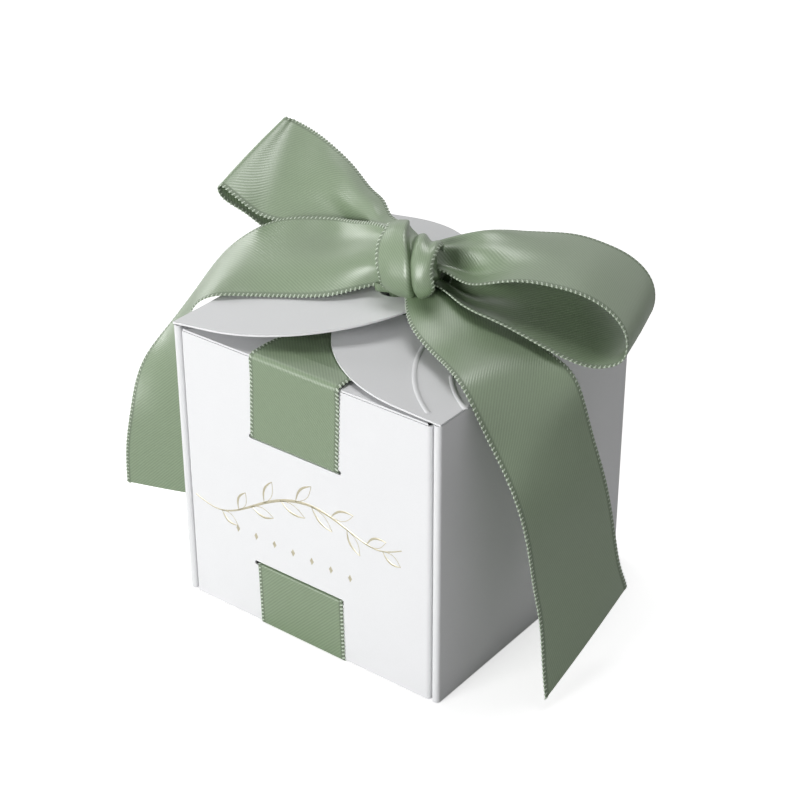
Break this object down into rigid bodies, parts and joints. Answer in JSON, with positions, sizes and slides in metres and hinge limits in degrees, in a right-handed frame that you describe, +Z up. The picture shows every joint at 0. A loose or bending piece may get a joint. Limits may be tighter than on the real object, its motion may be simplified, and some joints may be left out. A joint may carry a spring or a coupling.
{
  "type": "favor box",
  "caption": "Cube-shaped folded card favor box with round-nosed top flaps, tied with a woven-in satin ribbon and a bow.",
  "frame": {"origin": "centre of the box's footprint, on the underside of the ribbon that it stands on", "axes": "+X right along the front face, +Y from front to back, +Z up"},
  "size_m": [0.1293, 0.0754, 0.0987],
  "materials": {
    "white_card": "smooth matt white card",
    "sage_satin": "sage green single-face satin ribbon with stitched edges"
  },
  "bodies": {
    "carton": {"base_panel": "white_card", "front_wall": "white_card", "back_wall": "white_card", "left_wall": "white_card", "right_wall": "white_card", "front_left_web": "white_card", "front_right_web": "white_card", "back_left_web": "white_card", "back_right_web": "white_card", "ribbon_under_base": "sage_satin", "ribbon_front_lower": "sage_satin", "ribbon_front_inner": "sage_satin", "ribbon_front_upper": "sage_satin", "ribbon_back_lower": "sage_satin", "ribbon_back_inner": "sage_satin", "ribbon_back_upper": "sage_satin"},
    "left_flap_body": {"left_flap": "white_card"},
    "right_flap_body": {"right_flap": "white_card"},
    "front_flap_body": {"front_flap": "white_card", "ribbon_over_front_flap": "sage_satin"},
    "back_flap_body": {"back_flap": "white_card", "ribbon_over_back_flap": "sage_satin"},
    "bow": {"ribbon_stem": "sage_satin", "bow_knot": "sage_satin", "left_loop": "sage_satin", "right_loop": "sage_satin", "left_tail": "sage_satin", "right_tail": "sage_satin"}
  },
  "joints": [
    {"name": "bow_lift", "type": "slide", "parent": "carton", "child": "bow", "axis": [0, 0, 1], "range_m": [0, 0.18]},
    {"name": "left_flap_hinge", "type": "hinge", "parent": "carton", "child": "left_flap_body", "pos_m": [-0.0375, 0, 0.0728], "axis": [0, -1, 0], "range_deg": [0, 145]},
    {"name": "right_flap_hinge", "type": "hinge", "parent": "carton", "child": "right_flap_body", "pos_m": [0.0375, 0, 0.0728], "axis": [0, 1, 0], "range_deg": [0, 75]},
    {"name": "front_flap_hinge", "type": "hinge", "parent": "carton", "child": "front_flap_body", "pos_m": [0, -0.0374, 0.07205], "axis": [1, 0, 0], "range_deg": [0, 58]},
    {"name": "back_flap_hinge", "type": "hinge", "parent": "carton", "child": "back_flap_body", "pos_m": [0, 0.0374, 0.07205], "axis": [-1, 0, 0], "range_deg": [0, 58]}
  ],
  "couplings": [
    {"joint": "left_flap_hinge", "follows": "bow_lift", "rad_per_m": 13.963},
    {"joint": "right_flap_hinge", "follows": "bow_lift", "rad_per_m": 7.1559},
    {"joint": "front_flap_hinge", "follows": "bow_lift", "rad_per_m": 5.585},
    {"joint": "back_flap_hinge", "follows": "bow_lift", "rad_per_m": 5.585}
  ]
}
